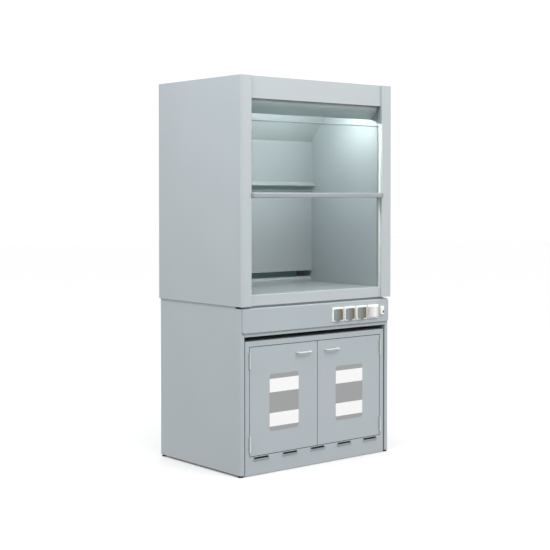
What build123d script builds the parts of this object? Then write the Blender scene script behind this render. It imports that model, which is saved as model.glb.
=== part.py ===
from build123d import *
from math import cos, hypot, radians, sin, sqrt
import os

# Fume hood on a ventilated base cabinet. Millimetres, +Z up, front towards -Y. The pieces are drawn with the
# upper unit centred on the origin, and leave with the origin on the floor under the middle of the whole hood.

# Overall sizes
WIDTH = 1200
DEPTH = 820
HEIGHT = 2300
SPLIT_Z = 980
FRONT_Y = -DEPTH / 2
BACK_Y = DEPTH / 2
HALF_W = WIDTH / 2
SHEET = 1.5
BEND = 2.0

# Upper unit: posts, fascia and sill
POST_FACE = 80
INNER_X = HALF_W - POST_FACE
RETURN_DEPTH = 15.5
POST_RADIUS = 5
FACE_Y = FRONT_Y + RETURN_DEPTH - SHEET
INNER_FRONT_Y = FACE_Y + SHEET
FASCIA_H = 128
FASCIA_BOTTOM_Z = HEIGHT - FASCIA_H
FASCIA_FLANGE = 17
SILL_H = 64
WORKTOP_Z = SPLIT_Z + SILL_H
WORKTOP_T = 3
WORKTOP_SKIRT = 2
WORKTOP_NOSE = 30
WORKTOP_TOE = 20
SILL_FLANGE = 14
SILL_FOOT = 34
BACK_FLANGE = 25
BACK_PLAY = 1
ROOF_FLANGE = 25

# Exhaust collar
COLLAR_R = 100
COLLAR_WALL = 2
COLLAR_FROM_BACK = 148
COLLAR_Y = BACK_Y - COLLAR_FROM_BACK
COLLAR_HEIGHT = 50
COLLAR_RING_R = 122
COLLAR_DROP = 12

# Sash: guides, side walls, two panes and the handle bar
PANE = 5
PANE_PLAY = 0.5
GROOVE = PANE + 2 * PANE_PLAY
GUIDE_LIP = 12.5
GUIDE_BACK_LIP = 1.5
GUIDE_DEPTH = GUIDE_LIP + GROOVE + GUIDE_BACK_LIP
GUIDE_WIDTH = 12
GUIDE_WEB = 3
PANE_HALF_W = INNER_X + GUIDE_WIDTH - GUIDE_WEB - PANE_PLAY
PANE_DROP = 250
PANE_TOP_Z = HEIGHT - PANE_DROP
GUIDE_OVER = 5
GUIDE_TOP_Z = PANE_TOP_Z + GUIDE_OVER
SASH_OPEN = 558.5
BAR_BOTTOM_Z = WORKTOP_Z + SASH_OPEN
BAR_HEIGHT = 28.5
BAR_REACH = 10
BAR_FRONT_Y = FRONT_Y - BAR_REACH
BAR_PLAY = 1.5
BAR_BACK_Y = FRONT_Y - BAR_PLAY
BAR_OVERLAP = 5.5
BAR_HALF_W = INNER_X + BAR_OVERLAP
BAR_EDGE_LOW = 4
BAR_EDGE_TOP = 6
CAP_LENGTH = 17
CAP_EDGE = 3
NECK_PLAY = 1.5
NECK_HALF_W = INNER_X - NECK_PLAY
NECK_WALL = 1.5
NECK_RISE = 3.5
NECK_H = 22
PANE_SEAT = 8
REAR_PANE_RISE = 9.5
REAR_PANE_BOTTOM_Z = BAR_BOTTOM_Z + REAR_PANE_RISE
REAR_PANE_DROP = 10
REAR_PANE_TOP_Z = HEIGHT - REAR_PANE_DROP
LINER = 6
LINER_WEB = 1.5
SLOT_LIP = 1.5
REAR_PANE_HALF_W = INNER_X + LINER - LINER_WEB - PANE_PLAY

# Chamber: valance, ceiling and lamp
VALANCE_TOP_Z = HEIGHT - SHEET
VALANCE_GAP = 3
VALANCE_BEND_DROP = 135
VALANCE_BEND_Z = HEIGHT - VALANCE_BEND_DROP
VALANCE_R = 50
VALANCE_ANGLE = 50
VALANCE_DROP = 208
VALANCE_BOTTOM_Z = HEIGHT - VALANCE_DROP
VALANCE_LIP = 14
CEILING_DROP = 160
CEILING_Z = HEIGHT - CEILING_DROP
LAMP_END = 55
LAMP_HALF_L = INNER_X - LAMP_END
LAMP_FROM_FRONT = 165
LAMP_Y = FRONT_Y + LAMP_FROM_FRONT
LAMP_HALF_D = 48
LAMP_DROP = 14
LAMP_RIM = 10
LAMP_RIM_T = 2
LAMP_BOX_H = 60
LAMP_PLAY = 1
LENS_EDGE = 8
LENS_WALL = 3
LENS_FLOOR = 4

# Baffles, as (y, z) fold points of their front faces
BAFFLE_T = 3
PLENUM = 158
WALL_BACK_Y = BACK_Y - PLENUM
FOLD_DROP = 328
FOLD_Z = HEIGHT - FOLD_DROP
INCLINE = 124 / 153
UPPER_DROP = 595
UPPER_LEAN = 16
UPPER_LOW = (WALL_BACK_Y - UPPER_LEAN, HEIGHT - UPPER_DROP)
BAFFLE_LIP = 24
UPPER_LIP = (UPPER_LOW[0] - BAFFLE_LIP, UPPER_LOW[1] - BAFFLE_LIP)
UPPER_SLOT = 32
MIDDLE_LEAN = 11
MIDDLE_TOP = (WALL_BACK_Y - MIDDLE_LEAN, UPPER_LIP[1] - UPPER_SLOT)
MIDDLE_BEND_Z = MIDDLE_TOP[1] - MIDDLE_LEAN
MIDDLE_RISE = 74.5
MIDDLE_BOTTOM_Z = WORKTOP_Z + MIDDLE_RISE
STRIP_H = 36
STRIP_LEAN = 15
STRIP_TOP = (WALL_BACK_Y + STRIP_LEAN, WORKTOP_Z + STRIP_H)
STRIP_BEND = 20
STRIP_BEND_Z = WORKTOP_Z + STRIP_BEND

# Base unit
BASE_INSET = 8
BASE_X = HALF_W - BASE_INSET
BASE_FRONT_INSET = 14
BASE_FRONT_Y = FRONT_Y + BASE_FRONT_INSET
BASE_BACK_INSET = 6
BASE_BACK_Y = BACK_Y - BASE_BACK_INSET
SIDE_T = 30
SIDE_RADIUS = 12
SIDE_RETURN = 30
BASE_INNER_X = BASE_X - SIDE_T
FOOT_H = 12
NOTCH_DEPTH = 46
NOTCH_HEIGHT = 12
NOTCH_Z = SPLIT_Z - NOTCH_HEIGHT
RAIL_H = 176.5
RAIL_BOTTOM_Z = SPLIT_Z - RAIL_H
RAIL_STEP = 24
RAIL_TOP_FLANGE = 44
RAIL_LOW_FLANGE = 40
BACK_PANEL_Z = 60
BACK_PANEL_FLANGE = 56
FOOT_R = 14
FOOT_EDGE = 2
FOOT_CORE_Z = 5
FOOT_SHOULDER_R = 9
FOOT_SHOULDER_H = 3
STEM_R = 5
STEM_HOLE_R = 5.3
STEM_TOP_Z = 40
FOOT_X = BASE_X - SIDE_T / 2
FOOT_INSET = 18
FOOT_FRONT_Y = BASE_FRONT_Y + FOOT_INSET
FOOT_BACK_Y = BASE_BACK_Y - FOOT_INSET

# Control panel and its fittings
PANEL_INSET = 10
PANEL_HALF_W = BASE_X - PANEL_INSET
PANEL_DROP = 15.5
PANEL_TOP_Z = SPLIT_Z - PANEL_DROP
PANEL_H = 137.5
PANEL_LOW_Z = PANEL_TOP_Z - PANEL_H
PANEL_DEPTH = 12
PANEL_RADIUS = 12
PANEL_EDGE = 2
PANEL_WALL = 2
PANEL_FRONT_Y = BASE_FRONT_Y - PANEL_DEPTH
FITTING_RISE = 67.5
FITTING_Z = PANEL_LOW_Z + FITTING_RISE
SOCKET_FROM_END = 436.3
SOCKET_FIRST_X = PANEL_HALF_W - SOCKET_FROM_END
SOCKET_PITCH = 98.6
SOCKET_W = 89
SOCKET_H = 85
FRAME_T = 8
FRAME_RADIUS = 4
FRAME_EDGE = 1.5
CUP_R = 20
CUP_DEPTH = 17
PIN_HOLE_R = 2.6
PIN_HOLE_PITCH = 19
PIN_HOLE_DEPTH = 12
BOX_W = 58
BOX_D = 34
BOX_SINK = 2
BOX_CLEAR = 2
CLIP_W = 6
CLIP_H = 4
CLIP_SET = 4
LID_W = 70
LID_H = 66
LID_T = 2
LID_BULGE = 9
LID_SIDE = 4.5
LID_GAP = 0.4
LID_AXLE_R = 1.5
LID_AXLE_PLAY = 0.05
LID_BARREL_R = 2.6
EAR_T = 3
TAB_W = 18
TAB_H = 6
ROCKER_W = 85
ROCKER_H = 66
ROCKER_BULGE = 8
ROCKER_BACK = 3.2
SWITCH_DEPTH = 16
SWITCH_RIM = 3
ROCKER_SIDE = 3
ROCKER_EDGE = 1.2
ROCKER_STEM_H = 20
ROCKER_STEM_PLAY = 1
ROCKER_AXLE_R = 3
ROCKER_AXLE_IN = 1.5
ROCKER_AXLE_PLAY = 0.05
ROCKER_SET = 2
STARTER_FROM_END = 60
STARTER_X = PANEL_HALF_W - STARTER_FROM_END
STARTER_W = 29
STARTER_H = 53
STARTER_T = 9
STARTER_RISE = 3
STARTER_WALL = 4
STARTER_BODY_D = 30
STARTER_CLEAR = 1
BUTTON_W = 10
BUTTON_H = 14
BUTTON_X = 6
BUTTON_Z = -8
BUTTON_OUT = 2.5
BUTTON_PLAY = 0.4
BUTTON_DEPTH = 12
BUTTON_STROKE = 2

# From the drawn origin to the middle of the whole hood, whose foremost point is the bowed rocker
MIDDLE_SHIFT = -(BACK_Y + PANEL_FRONT_Y - FRAME_T - ROCKER_BACK - ROCKER_BULGE) / 2

# Cabinet
CAB_PLAY = 8
CAB_HALF_W = BASE_INNER_X - CAB_PLAY
CAB_INSET = 6
CAB_FRONT_Y = BASE_FRONT_Y + CAB_INSET
CAB_BACK_PLAY = 26
CAB_BACK_Y = BASE_BACK_Y - CAB_BACK_PLAY
CAB_TOP_PLAY = 26.5
CAB_TOP_Z = RAIL_BOTTOM_Z - CAB_TOP_PLAY
CAB_SHEET = 2
STILE = 30.5
OPEN_HALF_W = CAB_HALF_W - STILE
OPEN_LOW_Z = 110.5
OPEN_DROP = 30
OPEN_TOP_Z = CAB_TOP_Z - OPEN_DROP
PLINTH_LOW_Z = 3
FRAME_FOLD = 24
DOOR_GAP = 4
DOOR_T = 20
DOOR_SKIN = 1.5
DOOR_EDGE = 1
DOOR_LIP = 16
VENT_COUNT = 5
VENT_END = 87.5
VENT_PITCH = 2 * (OPEN_HALF_W - VENT_END) / (VENT_COUNT - 1)
VENT_W = 112
VENT_LOW_Z = 96
VENT_TOP_Z = 106
VENT_SCOOP = 9
VENT_SCOOP_Z = 80
VENT_SHEET = 1.2
VENT_FOOT = 4

# Hinges, pulls and plates on the doors
HINGE_R = 4.8
HINGE_PIN_R = 2
HINGE_PIN_PLAY = 0.05
HINGE_LEAF = 1.5
HINGE_LEN = 96
HINGE_END_GAP = 0.3
HINGE_SWING_GAP = 0.6
HINGE_KNUCKLES = 4
HINGE_LOW = 74
HINGE_HIGH = 80
HINGE_DEPTH = 18
HINGE_DEEP_Y = CAB_FRONT_Y + HINGE_DEPTH
HINGE_AXIS_X = OPEN_HALF_W - DOOR_GAP / 2
HINGE_AXIS_Y = BASE_FRONT_Y
PULL_FROM_MIDDLE = 112.5
PULL_PITCH = 100
PULL_R = 5
PULL_REACH = 30
PULL_BEND = 12
PULL_DROP = 61
PULL_Z = OPEN_TOP_Z - PULL_DROP
PLATE_W = 222
PLATE_H = 332
PLATE_T = 1
PLATE_RADIUS = 17
PLATE_X = (OPEN_HALF_W - DOOR_GAP / 2) / 2
PLATE_DROP = 336
PLATE_Z = OPEN_TOP_Z - PLATE_DROP


# Helpers
def block(x0, x1, y0, y1, z0, z1):
    """Box between two opposite corners."""
    return Pos((x0 + x1) / 2, (y0 + y1) / 2, (z0 + z1) / 2) * Box(x1 - x0, y1 - y0, z1 - z0)


def outline(points):
    """Face bounded by straight lines through the points, in its own two axes."""
    return make_face(Polyline(*points, close=True))


def rounded(face, corners):
    """Face with the named corners rounded: a list of ((u, v), radius)."""
    for (u, v), radius in corners:
        near = min(face.vertices(), key=lambda p: hypot(p.X - u, p.Y - v))
        face = fillet(near, radius)
    return face


def strip_points(points, t):
    """The second line of a sheet of thickness t that lies left of a folded line."""
    inner = []
    for i, (u, v) in enumerate(points):
        before = points[max(i - 1, 0)]
        after = points[min(i + 1, len(points) - 1)]
        if i == 0:
            before = None
        if i == len(points) - 1:
            after = None
        normals = []
        for a, b in ((before, (u, v)), ((u, v), after)):
            if a is None or b is None:
                continue
            length = hypot(b[0] - a[0], b[1] - a[1])
            normals.append((-(b[1] - a[1]) / length, (b[0] - a[0]) / length))
        if len(normals) == 1:
            n = normals[0]
            inner.append((u + n[0] * t, v + n[1] * t))
            continue
        (ax, ay), (bx, by) = normals
        k = t / (1 + ax * bx + ay * by)
        inner.append((u + (ax + bx) * k, v + (ay + by) * k))
    return inner


def folded(points, t=SHEET, bend=BEND):
    """Outline of a sheet folded along the points, its thickness to the left, each fold rounded.

    bend is the inside radius of the folds, one number or one for each fold.
    """
    inner = strip_points(points, t)
    face = outline(points + inner[::-1])
    bends = bend if isinstance(bend, (list, tuple)) else [bend] * (len(points) - 2)
    corners = []
    for i, r in zip(range(1, len(points) - 1), bends):
        if not r:
            continue
        (ax, ay), (bx, by), (cx, cy) = points[i - 1], points[i], points[i + 1]
        turns_left = (bx - ax) * (cy - by) - (by - ay) * (cx - bx) > 0
        corners.append((points[i], r + t if turns_left else r))
        corners.append((inner[i], r if turns_left else r + t))
    return rounded(face, corners)


def along_x(face, x0, x1):
    """Extrude an outline drawn in (y, z) from x0 to x1."""
    return extrude(Plane.YZ.offset(x0) * face, amount=x1 - x0)


def along_z(face, z0, z1):
    """Extrude an outline drawn in (x, y) from z0 to z1."""
    return extrude(Plane.XY.offset(z0) * face, amount=z1 - z0)


def rod_x(radius, x0, x1, y, z):
    """Round bar along X."""
    return Pos((x0 + x1) / 2, y, z) * Rot(0, 90, 0) * Cylinder(radius, x1 - x0)


def rod_y(radius, y0, y1, x, z):
    """Round bar along Y."""
    return Pos(x, (y0 + y1) / 2, z) * Rot(90, 0, 0) * Cylinder(radius, y1 - y0)


def rod_z(radius, z0, z1, x, y):
    """Round bar along Z."""
    return Pos(x, y, (z0 + z1) / 2) * Cylinder(radius, z1 - z0)


def mirrored(part):
    """The same piece for the other side of the hood."""
    return mirror(part, about=Plane.YZ)


# Upper unit
def outer_side_right():
    """Outer side sheet with its post face and return in front, a back flange, and a flange underneath."""
    line = [(INNER_X, INNER_FRONT_Y), (INNER_X, FRONT_Y), (HALF_W, FRONT_Y),
            (HALF_W, BACK_Y), (HALF_W - BACK_FLANGE, BACK_Y)]
    wall = along_z(folded(line, bend=[BEND, POST_RADIUS - SHEET, BEND]), SPLIT_Z, HEIGHT)
    inside = [(INNER_X + SHEET, FRONT_Y + SHEET), (HALF_W - SHEET, FRONT_Y + SHEET),
              (HALF_W - SHEET, BACK_Y - SHEET), (INNER_X, BACK_Y - SHEET),
              (INNER_X, INNER_FRONT_Y), (INNER_X + SHEET, INNER_FRONT_Y)]
    foot = rounded(outline(inside), [((HALF_W - SHEET, FRONT_Y + SHEET), POST_RADIUS - SHEET),
                                     ((HALF_W - SHEET, BACK_Y - SHEET), BEND),
                                     ((INNER_X + SHEET, FRONT_Y + SHEET), BEND)])
    return wall + along_z(foot, SPLIT_Z, SPLIT_Z + SHEET)


def roof_panel():
    """Roof sheet between the side sheets, notched round the posts, with a flange down each side."""
    x, inner = HALF_W - SHEET, INNER_X + SHEET
    y0, y1, yb = FRONT_Y + SHEET, INNER_FRONT_Y, BACK_Y - SHEET
    half = [(inner, y1), (inner, y0), (x, y0), (x, yb)]
    plan = outline([(-u, v) for u, v in half[::-1]] + half)
    corners = [((s * u, v), r) for s in (-1, 1)
               for u, v, r in ((inner, y0, BEND), (x, y0, POST_RADIUS - SHEET), (x, yb, BEND))]
    roof = along_z(rounded(plan, corners), HEIGHT - SHEET, HEIGHT)
    roof -= rod_z(COLLAR_R, HEIGHT - 2 * SHEET, HEIGHT + 1, 0, COLLAR_Y)
    for s in (-1, 1):
        a, b = sorted((s * x, s * (x - SHEET)))
        roof += block(a, b, y0 + 2 * POST_RADIUS, yb - 2 * POST_RADIUS, HEIGHT - ROOF_FLANGE, HEIGHT - SHEET)
    return roof


def exhaust_collar():
    """Round collar for the exhaust duct, on a ring that lies on the roof."""
    tube = rod_z(COLLAR_R, HEIGHT - COLLAR_DROP, HEIGHT + COLLAR_HEIGHT, 0, COLLAR_Y)
    ring = rod_z(COLLAR_RING_R, HEIGHT, HEIGHT + COLLAR_WALL, 0, COLLAR_Y)
    bore = rod_z(COLLAR_R - COLLAR_WALL, HEIGHT - COLLAR_DROP - 1, HEIGHT + COLLAR_HEIGHT + 1, 0, COLLAR_Y)
    return tube + ring - bore


def fascia():
    """Front cover between the posts, with a flange under the roof."""
    top = HEIGHT - SHEET
    cover = block(-INNER_X, INNER_X, FACE_Y, INNER_FRONT_Y, FASCIA_BOTTOM_Z, HEIGHT)
    flange = block(-INNER_X, INNER_X, INNER_FRONT_Y, INNER_FRONT_Y + FASCIA_FLANGE, top - SHEET, top)
    return cover + flange


def rear_panel():
    """Flat rear sheet inside the side sheets' back flanges."""
    x = HALF_W - SHEET - BEND - BACK_PLAY
    return block(-x, x, BACK_Y - 2 * SHEET, BACK_Y - SHEET, SPLIT_Z + SHEET, HEIGHT - SHEET)


def front_sill():
    """Sill under the sash: front face, top flange level with the worktop, flange underneath."""
    line = [(INNER_FRONT_Y + SILL_FOOT, SPLIT_Z), (FACE_Y, SPLIT_Z), (FACE_Y, WORKTOP_Z),
            (INNER_FRONT_Y + SILL_FLANGE, WORKTOP_Z)]
    return along_x(folded(line[::-1]), -INNER_X, INNER_X)


def worktop():
    """Worktop pan: a flat top, its edges folded down to the base unit, set back under the front nosing."""
    y0, y1 = INNER_FRONT_Y + SILL_FLANGE, BACK_Y - 2 * SHEET
    toe_y, toe_z = y0 + WORKTOP_TOE, WORKTOP_Z - WORKTOP_NOSE
    x, t = INNER_X, WORKTOP_SKIRT
    pan = block(-x, x, y0, y1, SPLIT_Z, WORKTOP_Z) - block(-x, x, y0, toe_y, SPLIT_Z, toe_z)
    hollow = block(-x + t, x - t, y0 + t, y1 - t, SPLIT_Z, WORKTOP_Z - WORKTOP_T)
    return pan - (hollow - block(-x, x, y0, toe_y + t, SPLIT_Z, toe_z + t))


def front_pane_y():
    """Front face of the front pane, in the guides' groove."""
    return INNER_FRONT_Y + GUIDE_LIP + PANE_PLAY


def rear_pane_y():
    """Front face of the rear pane, in the side walls' slot just behind the guides."""
    return INNER_FRONT_Y + GUIDE_DEPTH + SLOT_LIP + PANE_PLAY


def liner_right():
    """Side wall of the chamber and the plenum: notched for the guide, with a slot for the rear pane."""
    x0, x1 = INNER_X, INNER_X + LINER
    z0, z1 = SPLIT_Z + SHEET, HEIGHT - SHEET
    wall = block(x0, x1, INNER_FRONT_Y, BACK_Y - 2 * SHEET, z0, z1)
    wall -= block(x0 - 1, x1 + 1, INNER_FRONT_Y - 1, INNER_FRONT_Y + GUIDE_DEPTH, z0 - 1, GUIDE_TOP_Z)
    y = rear_pane_y() - PANE_PLAY
    return wall - block(x0 - 1, x1 - LINER_WEB, y, y + GROOVE, z0 - 1, z1 + 1)


def sash_guide_right():
    """White guide behind the post, with a groove for the front pane behind its broad front lip."""
    x1, y0 = INNER_X + GUIDE_WIDTH, INNER_FRONT_Y
    guide = block(INNER_X, x1, y0, y0 + GUIDE_DEPTH, SPLIT_Z + SHEET, GUIDE_TOP_Z)
    y = front_pane_y() - PANE_PLAY
    return guide - block(INNER_X - 1, x1 - GUIDE_WEB, y, y + GROOVE, SPLIT_Z, GUIDE_TOP_Z + 1)


def sash_pane_front():
    """Glass of the front sash, held in the handle bar."""
    y = front_pane_y()
    return block(-PANE_HALF_W, PANE_HALF_W, y, y + PANE, BAR_BOTTOM_Z + PANE_SEAT, PANE_TOP_Z)


def sash_pane_rear():
    """Glass of the rear sash, behind the front one."""
    y = rear_pane_y()
    return block(-REAR_PANE_HALF_W, REAR_PANE_HALF_W, y, y + PANE, REAR_PANE_BOTTOM_Z, REAR_PANE_TOP_Z)


def bar_outline():
    """Section of the bar in front of the posts, both front corners rounded."""
    top = BAR_BOTTOM_Z + BAR_HEIGHT
    face = outline([(BAR_BACK_Y, BAR_BOTTOM_Z), (BAR_FRONT_Y, BAR_BOTTOM_Z), (BAR_FRONT_Y, top),
                    (BAR_BACK_Y, top)])
    return rounded(face, [((BAR_FRONT_Y, BAR_BOTTOM_Z), BAR_EDGE_LOW), ((BAR_FRONT_Y, top), BAR_EDGE_TOP)])


def sash_handle():
    """Handle bar across the sash, with the channel behind it that holds the front pane."""
    bar = along_x(bar_outline(), CAP_LENGTH - BAR_HALF_W, BAR_HALF_W - CAP_LENGTH)
    pane = front_pane_y()
    low = BAR_BOTTOM_Z + NECK_RISE
    top = low + NECK_H
    neck = block(-NECK_HALF_W, NECK_HALF_W, BAR_BACK_Y, pane + PANE + NECK_WALL, low, top)
    neck -= block(-NECK_HALF_W - 1, NECK_HALF_W + 1, pane, pane + PANE, BAR_BOTTOM_Z + PANE_SEAT, top + 1)
    return bar + neck


def handle_cap_right():
    """End cap of the handle bar, its outer front edge bevelled."""
    cap = along_x(bar_outline(), BAR_HALF_W - CAP_LENGTH, BAR_HALF_W)
    edges = cap.edges().filter_by(Axis.Z).group_by(Axis.X)[-1].group_by(Axis.Y)[0]
    return chamfer(edges, CAP_EDGE)


def valance_front_y():
    """Front face of the valance's upright part, behind the rear pane."""
    return rear_pane_y() + PANE + VALANCE_GAP


def air_valance():
    """Curved sheet behind the fascia that leads the air in, with a lip along its lower edge."""
    a, r, t = radians(VALANCE_ANGLE), VALANCE_R, SHEET
    y0, zc = valance_front_y(), VALANCE_BEND_Z
    yc = y0 + r

    def on_arc(radius, angle):
        return yc - radius * cos(angle), zc - radius * sin(angle)

    (y1, z1), (y3, z3) = on_arc(r, a), on_arc(r - t, a)
    y2, z2 = y1 + (z1 - VALANCE_BOTTOM_Z) / cos(a) * sin(a), VALANCE_BOTTOM_Z
    inner = (y2 - t, z3 - (y2 - t - y3) / sin(a) * cos(a))
    edge = [Polyline((y0 + t, zc), (y0 + t, VALANCE_TOP_Z), (y0, VALANCE_TOP_Z), (y0, zc)),
            ThreePointArc((y0, zc), on_arc(r, a / 2), (y1, z1)),
            Polyline((y1, z1), (y2, z2), (y2, z2 + VALANCE_LIP), (y2 - t, z2 + VALANCE_LIP), inner, (y3, z3)),
            ThreePointArc((y3, z3), on_arc(r - t, a / 2), (y0 + t, zc))]
    return along_x(make_face(Wire([e for part in edge for e in part.edges()])), -INNER_X, INNER_X)


def ceiling_front_y():
    """Where the ceiling's lower edge meets the inside of the valance."""
    r = VALANCE_R - SHEET
    return valance_front_y() + VALANCE_R - sqrt(r * r - (VALANCE_BEND_Z - CEILING_Z) ** 2)


def incline_top_y():
    """Where the inclined baffle meets the ceiling."""
    return WALL_BACK_Y - (CEILING_Z - FOLD_Z) * INCLINE


def liner_ceiling():
    """Chamber ceiling with the lamp opening, folded up behind to close the plenum."""
    y0, y1 = ceiling_front_y(), incline_top_y()
    line = [(y0, CEILING_Z), (y1, CEILING_Z), (y1, HEIGHT - SHEET)]
    sheet = along_x(folded(line), -INNER_X, INNER_X)
    hole = block(-LAMP_HALF_L - LAMP_PLAY, LAMP_HALF_L + LAMP_PLAY, LAMP_Y - LAMP_HALF_D - LAMP_PLAY,
                 LAMP_Y + LAMP_HALF_D + LAMP_PLAY, CEILING_Z - 1, CEILING_Z + 5)
    return sheet - hole


def lamp_lens():
    """Diffusing lens hanging through the ceiling, its rim lying on the ceiling."""
    z, low = CEILING_Z + SHEET, CEILING_Z - LAMP_DROP
    x, y0, y1 = LAMP_HALF_L, LAMP_Y - LAMP_HALF_D, LAMP_Y + LAMP_HALF_D
    section = outline([(y0, z), (y0, low), (y1, low), (y1, z)])
    lens = along_x(rounded(section, [((y0, low), LENS_EDGE), ((y1, low), LENS_EDGE)]), -x, x)
    lens += block(-x - LAMP_RIM, x + LAMP_RIM, y0 - LAMP_RIM, y1 + LAMP_RIM, z, z + LAMP_RIM_T)
    w = LENS_WALL
    return lens - block(-x + w, x - w, y0 + w, y1 - w, low + LENS_FLOOR, z + LAMP_RIM_T + 1)


def lamp_housing():
    """Lamp box over the lens."""
    z = CEILING_Z + SHEET + LAMP_RIM_T
    x, d, t = LAMP_HALF_L + LAMP_RIM, LAMP_HALF_D + LAMP_RIM, SHEET
    box = block(-x, x, LAMP_Y - d, LAMP_Y + d, z, z + LAMP_BOX_H)
    return box - block(-x + t, x - t, LAMP_Y - d + t, LAMP_Y + d - t, z - 1, z + LAMP_BOX_H - t)


def baffle_upper():
    """Top baffle: inclined part, nearly upright part leaning forward, and a lip towards the chamber."""
    line = [UPPER_LIP, UPPER_LOW, (WALL_BACK_Y, FOLD_Z), (incline_top_y(), CEILING_Z)]
    sheet = along_x(folded(line[::-1], t=BAFFLE_T), -INNER_X, INNER_X)
    return sheet - block(-INNER_X - 1, INNER_X + 1, 0, BACK_Y, CEILING_Z, CEILING_Z + 20)


def baffle_middle():
    """Middle baffle with its upper edge leaning forward."""
    line = [(WALL_BACK_Y, MIDDLE_BOTTOM_Z), (WALL_BACK_Y, MIDDLE_BEND_Z), MIDDLE_TOP]
    return along_x(folded(line[::-1], t=BAFFLE_T), -INNER_X, INNER_X)


def baffle_lower():
    """Low strip on the worktop with its upper edge leaning back."""
    line = [(WALL_BACK_Y, WORKTOP_Z), (WALL_BACK_Y, STRIP_BEND_Z), STRIP_TOP]
    return along_x(folded(line[::-1], t=BAFFLE_T), -INNER_X, INNER_X)


# Base unit
def base_side_right():
    """Base side: outer sheet with a rounded front corner, inner return, flanges, and a notch in front."""
    line = [(BASE_INNER_X, BASE_FRONT_Y + SIDE_RETURN), (BASE_INNER_X, BASE_FRONT_Y), (BASE_X, BASE_FRONT_Y),
            (BASE_X, BASE_BACK_Y), (BASE_INNER_X, BASE_BACK_Y)]
    side = along_z(folded(line, bend=[BEND, SIDE_RADIUS - SHEET, BEND]), FOOT_H, SPLIT_Z)
    x0, x1 = BASE_INNER_X + SHEET, BASE_X - SHEET
    y0, y1 = BASE_FRONT_Y + SHEET, BASE_BACK_Y - SHEET
    low = rounded(outline([(x0, y0), (x1, y0), (x1, y1), (x0, y1)]),
                  [((x1, y0), SIDE_RADIUS - SHEET), ((x1, y1), BEND), ((x0, y0), BEND)])
    side += along_z(low, FOOT_H, FOOT_H + SHEET)
    notch_y = BASE_FRONT_Y + NOTCH_DEPTH
    side += block(x0, x1, notch_y, y1, SPLIT_Z - SHEET, SPLIT_Z)
    side += along_z(low, NOTCH_Z - SHEET, NOTCH_Z) - block(x0, x1, notch_y, y1 + 1, NOTCH_Z - SHEET, NOTCH_Z)
    side -= block(BASE_INNER_X - 1, BASE_X + 1, BASE_FRONT_Y - 1, notch_y, NOTCH_Z, SPLIT_Z + 1)
    for y in (FOOT_FRONT_Y, FOOT_BACK_Y):
        side -= rod_z(STEM_HOLE_R, FOOT_H - 1, FOOT_H + 5, FOOT_X, y)
    return side


def socket_x(index):
    """Middle of a socket or of the switch, counted from the left."""
    return SOCKET_FIRST_X + index * SOCKET_PITCH


def fitting_holes(y0, y1):
    """Openings for the fittings' boxes."""
    half = BOX_W / 2 + BOX_CLEAR
    holes = [block(socket_x(i) - half, socket_x(i) + half, y0, y1, FITTING_Z - half, FITTING_Z + half)
             for i in range(4)]
    x, z = STARTER_W / 2 - STARTER_WALL + STARTER_CLEAR, STARTER_H / 2 - STARTER_WALL + STARTER_CLEAR
    middle = FITTING_Z + STARTER_RISE
    return holes + [block(STARTER_X - x, STARTER_X + x, y0, y1, middle - z, middle + z)]


def base_front_rail():
    """Front rail between the base sides: open to the back, stepped back under the sill, with openings."""
    step_y = BASE_FRONT_Y + RAIL_STEP
    line = [(BASE_FRONT_Y + RAIL_LOW_FLANGE, RAIL_BOTTOM_Z), (BASE_FRONT_Y, RAIL_BOTTOM_Z),
            (BASE_FRONT_Y, NOTCH_Z), (step_y, NOTCH_Z), (step_y, SPLIT_Z),
            (BASE_FRONT_Y + RAIL_TOP_FLANGE, SPLIT_Z)]
    rail = along_x(folded(line[::-1]), -BASE_INNER_X, BASE_INNER_X)
    for hole in fitting_holes(BASE_FRONT_Y - 1, BASE_FRONT_Y + 5):
        rail -= hole
    return rail


def base_back_panel():
    """Back sheet of the base, folded forward at the top to carry the worktop."""
    y1 = BASE_BACK_Y - SHEET
    x = BASE_X - SHEET - BEND - BACK_PLAY
    sheet = block(-x, x, y1 - SHEET, y1, BACK_PANEL_Z, SPLIT_Z - SHEET)
    return sheet + block(-BASE_INNER_X, BASE_INNER_X, y1 - BACK_PANEL_FLANGE, y1, SPLIT_Z - SHEET, SPLIT_Z)


def foot(x, y):
    """Levelling foot: a round pad, a shoulder under the base side, and a stem through it."""
    pad = rod_z(FOOT_R, 0, FOOT_H - FOOT_SHOULDER_H, x, y)
    pad = chamfer(pad.edges().group_by(Axis.Z)[-1], FOOT_EDGE)
    shoulder = rod_z(FOOT_SHOULDER_R, FOOT_CORE_Z, FOOT_H, x, y)
    return pad + shoulder + rod_z(STEM_R, FOOT_CORE_Z, STEM_TOP_Z, x, y)


def control_panel():
    """Cover with rounded corners in front of the rail, open behind, with openings for the fittings."""
    y0, y1 = PANEL_FRONT_Y, BASE_FRONT_Y
    z0, z1, x = PANEL_LOW_Z, PANEL_TOP_Z, PANEL_HALF_W
    box = block(-x, x, y0, y1, z0, z1)
    box = fillet(box.edges().filter_by(Axis.Y), PANEL_RADIUS)
    box = fillet(box.faces().sort_by(Axis.Y)[0].edges(), PANEL_EDGE)
    hollow = block(-x + SHEET, x - SHEET, y0 + PANEL_WALL, y1 + 1, z0 + SHEET, z1 - SHEET)
    hollow = fillet(hollow.edges().filter_by(Axis.Y), PANEL_RADIUS - SHEET)
    box -= hollow
    for hole in fitting_holes(y0 - 1, y0 + 5):
        box -= hole
    return box


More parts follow.
